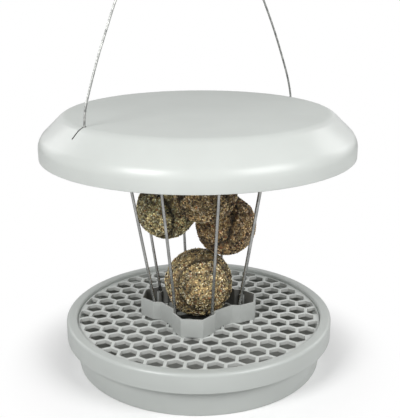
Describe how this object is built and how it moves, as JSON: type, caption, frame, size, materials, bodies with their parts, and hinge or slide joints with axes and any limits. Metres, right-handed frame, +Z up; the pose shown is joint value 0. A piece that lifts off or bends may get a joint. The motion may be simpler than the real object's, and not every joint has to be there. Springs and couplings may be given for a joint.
{
  "type": "bird feeding station",
  "caption": "Hanging bird feeding station: a round roof on a cable over a basket of slanted rods with fat balls, standing in a tray with a honeycomb grid.",
  "frame": {"origin": "middle of the tray's underside", "axes": "+Z up along the common axis; the collar's lobes lie on X and Y, and the cable's arch lies in the vertical plane at 45 degrees between +X and +Y"},
  "size_m": [0.29, 0.29, 0.4461],
  "materials": {
    "roof_plastic": "satin light grey-green moulded plastic",
    "tray_plastic": "satin light grey-green moulded plastic",
    "grid_plastic": "satin light grey-green moulded plastic",
    "rod_metal": "grey coated steel rod",
    "cable_steel": "stranded steel wire rope",
    "ring_steel": "bright steel wire",
    "fat_and_seed": "rough pressed fat with seeds and husks"
  },
  "bodies": {
    "tray": {"tray": "tray_plastic"},
    "basket": {"seed_grid": "grid_plastic", "ball_collar": "grid_plastic", "rod_1": "rod_metal", "rod_2": "rod_metal", "rod_3": "rod_metal", "rod_4": "rod_metal", "rod_5": "rod_metal", "rod_6": "rod_metal", "rod_7": "rod_metal", "rod_8": "rod_metal", "fat_ball_1": "fat_and_seed", "fat_ball_2": "fat_and_seed", "fat_ball_3": "fat_and_seed", "fat_ball_4": "fat_and_seed"},
    "roof": {"roof": "roof_plastic", "hanging_cable": "cable_steel", "cable_ferrule_1": "cable_steel", "cable_ferrule_2": "cable_steel", "hanging_ring": "ring_steel"}
  },
  "joints": [
    {"name": "grid_lift", "type": "slide", "parent": "tray", "child": "basket", "axis": [0, 0, 1], "range_m": [0, 0.06]},
    {"name": "roof_lift", "type": "slide", "parent": "basket", "child": "roof", "axis": [0, 0, 1], "range_m": [0, 0.1]}
  ]
}
